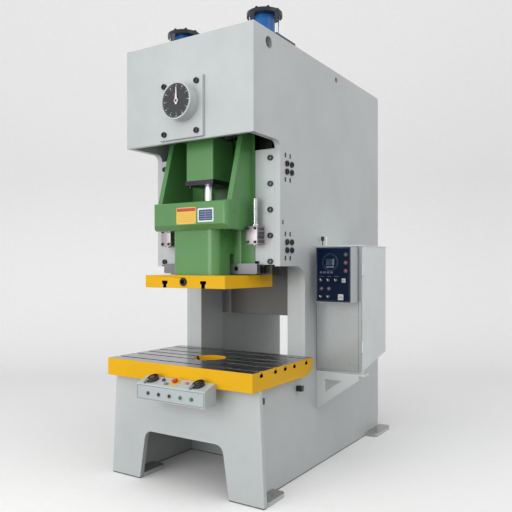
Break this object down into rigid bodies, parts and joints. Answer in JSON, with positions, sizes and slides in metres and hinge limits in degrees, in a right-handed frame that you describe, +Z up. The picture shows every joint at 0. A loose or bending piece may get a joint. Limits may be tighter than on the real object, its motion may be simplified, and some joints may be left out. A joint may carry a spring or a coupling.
{
  "type": "mechanical stamping press",
  "caption": "Open-back crank press: welded C-frame, green slide on gib guides, T-slotted bolster, crank with geared flywheel drive, two-hand control box and side cabinet.",
  "frame": {"origin": "on the floor, midway between the four anchor holes of the foot pads", "axes": "+Z up, -Y out of the front of the press, +X to the viewer's right when facing the front"},
  "size_m": [1.479, 2.267, 3.077],
  "materials": {
    "frame_paint": "satin",
    "slide_green": "satin",
    "bolster_yellow": "satin",
    "cylinder_blue": "satin",
    "box_paint": "satin",
    "black_paint": "satin",
    "dark_steel": "black oxide",
    "bright_steel": "ground",
    "bronze": "machined",
    "gear_steel": "machined",
    "motor_paint": "satin",
    "belt_rubber": "matte",
    "red_plastic": "gloss",
    "blue_plastic": "gloss",
    "black_plastic": "gloss",
    "green_plastic": "gloss",
    "panel_blue": "satin",
    "switchgear_grey": "satin",
    "pointer_white": "matte"
  },
  "bodies": {
    "frame": {"side_plate_right": "frame_paint", "side_plate_left": "frame_paint", "crown_plates": "frame_paint", "bearing_walls": "frame_paint", "shaft_bushes": "bronze", "drive_bay_plates": "frame_paint", "throat_posts": "frame_paint", "base_front_plate": "frame_paint", "bed": "frame_paint", "foot_pads": "frame_paint", "bolster": "bolster_yellow", "gib_plates": "frame_paint", "slide_guides": "frame_paint", "cap_screws": "dark_steel", "gib_screws": "dark_steel", "knockout_brackets": "frame_paint", "knockout_stop_screws": "bright_steel", "motor": "motor_paint", "v_belts": "belt_rubber", "balance_plate": "black_paint", "balance_cylinders": "cylinder_blue", "dial_cover_plate": "frame_paint", "dial_case": "black_plastic", "control_box": "box_paint", "cabinet_body": "frame_paint", "cabinet_shelf": "frame_paint", "switchgear": "switchgear_grey", "socket_boxes": "black_plastic"},
    "crank": {"crankshaft": "bright_steel", "main_gear": "gear_steel", "dial_pointer": "pointer_white"},
    "pinion": {"pinion_shaft": "gear_steel", "clutch_brake": "black_paint"},
    "flywheel": {"flywheel": "gear_steel"},
    "motor_rotor": {"motor_pulley": "gear_steel"},
    "rod": {"connecting_rod": "slide_green", "rod_cap": "slide_green", "rod_flange": "dark_steel"},
    "slide": {"slide": "slide_green", "slide_plate": "bolster_yellow", "ball_socket": "bronze", "shank_screw": "dark_steel", "balance_rods": "bright_steel"},
    "screw": {"adjusting_screw": "bright_steel"},
    "knockout": {"knockout_bar": "bright_steel"},
    "cabinet_door": {"cabinet_door": "frame_paint", "operator_panel": "panel_blue"},
    "palm_left": {"palm_button_left": "black_plastic"},
    "palm_right": {"palm_button_right": "black_plastic"},
    "stop_button": {"emergency_stop": "red_plastic"},
    "selector": {"box_selector": "blue_plastic"},
    "front_button_1": {"front_button_1": "black_plastic"},
    "front_button_2": {"front_button_2": "black_plastic"},
    "front_button_3": {"front_button_3": "black_plastic"},
    "knob_1": {"panel_knob_1": "black_plastic"},
    "knob_2": {"panel_knob_2": "black_plastic"},
    "knob_3": {"panel_knob_3": "black_plastic"},
    "knob_4": {"panel_knob_4": "black_plastic"},
    "knob_5": {"panel_knob_5": "black_plastic"}
  },
  "joints": [
    {"name": "slide_stroke", "type": "slide", "parent": "frame", "child": "rod", "axis": [0, 0, 1], "range_m": [-0.18, 0]},
    {"name": "crank_turn", "type": "hinge", "parent": "frame", "child": "crank", "pos_m": [0, -0.709, 2.427], "axis": [0, 1, 0], "range_deg": [0, 180]},
    {"name": "pinion_turn", "type": "hinge", "parent": "frame", "child": "pinion", "pos_m": [0, 0.2, 1.992], "axis": [0, 1, 0], "range_deg": [-864, 0]},
    {"name": "flywheel_turn", "type": "hinge", "parent": "frame", "child": "flywheel", "pos_m": [0, 0.475, 1.992], "axis": [0, 1, 0], "continuous": true},
    {"name": "motor_turn", "type": "hinge", "parent": "frame", "child": "motor_rotor", "pos_m": [0, 0.4, 1.223], "axis": [0, 1, 0], "continuous": true},
    {"name": "die_height", "type": "slide", "parent": "rod", "child": "slide", "axis": [0, 0, 1], "range_m": [0, 0.06]},
    {"name": "screw_turn", "type": "hinge", "parent": "slide", "child": "screw", "pos_m": [0, -0.709, 1.65], "axis": [0, 0, 1], "range_deg": [0, 2161]},
    {"name": "knockout_lift", "type": "slide", "parent": "slide", "child": "knockout", "axis": [0, 0, 1], "range_m": [0, 0.05]},
    {"name": "door_hinge", "type": "hinge", "parent": "frame", "child": "cabinet_door", "pos_m": [0.8523, -0.145, 1.1], "axis": [0, 0, 1], "range_deg": [0, 100]},
    {"name": "palm_left_press", "type": "slide", "parent": "frame", "child": "palm_left", "axis": [0, 0.3213, -0.947], "range_m": [0, 0.006], "stiffness_N_per_m": 1500, "springref_m": -0.003},
    {"name": "palm_right_press", "type": "slide", "parent": "frame", "child": "palm_right", "axis": [0, 0.3213, -0.947], "range_m": [0, 0.006], "stiffness_N_per_m": 1500, "springref_m": -0.003},
    {"name": "stop_press", "type": "slide", "parent": "frame", "child": "stop_button", "axis": [0, 0.3213, -0.947], "range_m": [0, 0.006]},
    {"name": "selector_turn", "type": "hinge", "parent": "frame", "child": "selector", "pos_m": [-0.032, -1.134, 0.697], "axis": [0, -0.3213, 0.947], "range_deg": [-45, 45]},
    {"name": "front_press_1", "type": "slide", "parent": "frame", "child": "front_button_1", "axis": [0, 1, 0], "range_m": [0, 0.004], "stiffness_N_per_m": 600, "springref_m": -0.002},
    {"name": "front_press_2", "type": "slide", "parent": "frame", "child": "front_button_2", "axis": [0, 1, 0], "range_m": [0, 0.004], "stiffness_N_per_m": 600, "springref_m": -0.002},
    {"name": "front_press_3", "type": "slide", "parent": "frame", "child": "front_button_3", "axis": [0, 1, 0], "range_m": [0, 0.004], "stiffness_N_per_m": 600, "springref_m": -0.002},
    {"name": "knob_turn_1", "type": "hinge", "parent": "cabinet_door", "child": "knob_1", "pos_m": [0.609, -0.27, 1.306], "axis": [0, -1, 0], "range_deg": [-45, 45]},
    {"name": "knob_turn_2", "type": "hinge", "parent": "cabinet_door", "child": "knob_2", "pos_m": [0.664, -0.27, 1.306], "axis": [0, -1, 0], "range_deg": [-45, 45]},
    {"name": "knob_turn_3", "type": "hinge", "parent": "cabinet_door", "child": "knob_3", "pos_m": [0.719, -0.27, 1.306], "axis": [0, -1, 0], "range_deg": [-45, 45]},
    {"name": "knob_turn_4", "type": "hinge", "parent": "cabinet_door", "child": "knob_4", "pos_m": [0.609, -0.27, 1.195], "axis": [0, -1, 0], "range_deg": [-45, 45]},
    {"name": "knob_turn_5", "type": "hinge", "parent": "cabinet_door", "child": "knob_5", "pos_m": [0.664, -0.27, 1.195], "axis": [0, -1, 0], "range_deg": [-45, 45]}
  ],
  "couplings": [
    {"joint": "crank_turn", "follows": "slide_stroke", "rad_per_m": -17.453},
    {"joint": "pinion_turn", "follows": "slide_stroke", "rad_per_m": 83.774},
    {"joint": "screw_turn", "follows": "die_height", "rad_per_m": 628.32},
    {"joint": "motor_turn", "follows": "flywheel_turn", "ratio": 5.6763}
  ]
}
